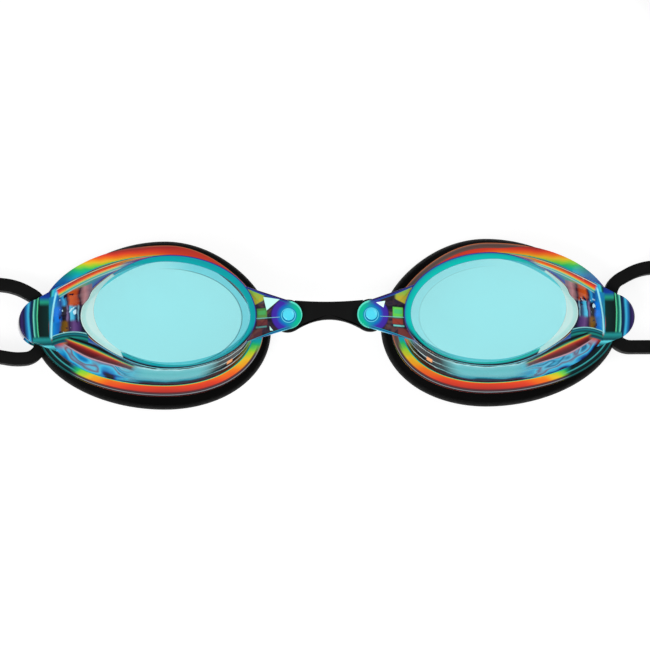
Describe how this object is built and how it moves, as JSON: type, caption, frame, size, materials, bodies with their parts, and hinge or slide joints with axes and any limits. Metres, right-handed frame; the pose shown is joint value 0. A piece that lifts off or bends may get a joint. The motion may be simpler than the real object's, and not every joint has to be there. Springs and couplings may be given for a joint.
{
  "type": "swim goggles",
  "caption": "Low-profile racing swim goggles: moulded mirrored eyecups with soft face seals, a flexible nose bridge and a looped silicone strap with a sliding adjuster clip.",
  "frame": {"origin": "on the surface the face seals rest on, below the middle of the nose bridge, level with the two studs", "axes": "+X to the right and +Y towards the forehead as seen from in front of the windows, +Z out of the windows"},
  "size_m": [0.1996, 0.1262, 0.0192],
  "materials": {
    "mirrored_lens": "clear polycarbonate with an iridescent mirror coating",
    "seal_silicone": "satin black silicone",
    "bridge_silicone": "satin black silicone",
    "strap_silicone": "smooth black silicone",
    "clip_plastic": "fine matt black"
  },
  "bodies": {
    "bridge_and_strap": {"nose_bridge": "bridge_silicone", "strap": "strap_silicone"},
    "left_eyecup": {"left_lens": "mirrored_lens", "left_gasket": "seal_silicone"},
    "right_eyecup": {"right_lens": "mirrored_lens", "right_gasket": "seal_silicone"},
    "strap_clip": {"strap_clip": "clip_plastic"}
  },
  "joints": [
    {"name": "left_pivot", "type": "hinge", "parent": "bridge_and_strap", "child": "left_eyecup", "pos_m": [-0.01075, 0, 0.014], "axis": [0, 0, 1], "range_deg": [-10, 10], "deforming": ["strap"]},
    {"name": "right_pivot", "type": "hinge", "parent": "bridge_and_strap", "child": "right_eyecup", "pos_m": [0.01075, 0, 0.014], "axis": [0, 0, 1], "range_deg": [-10, 10], "deforming": ["strap"]},
    {"name": "clip_slide", "type": "slide", "parent": "bridge_and_strap", "child": "strap_clip", "axis": [1, 0, 0], "range_m": [-0.012, 0.012]}
  ]
}
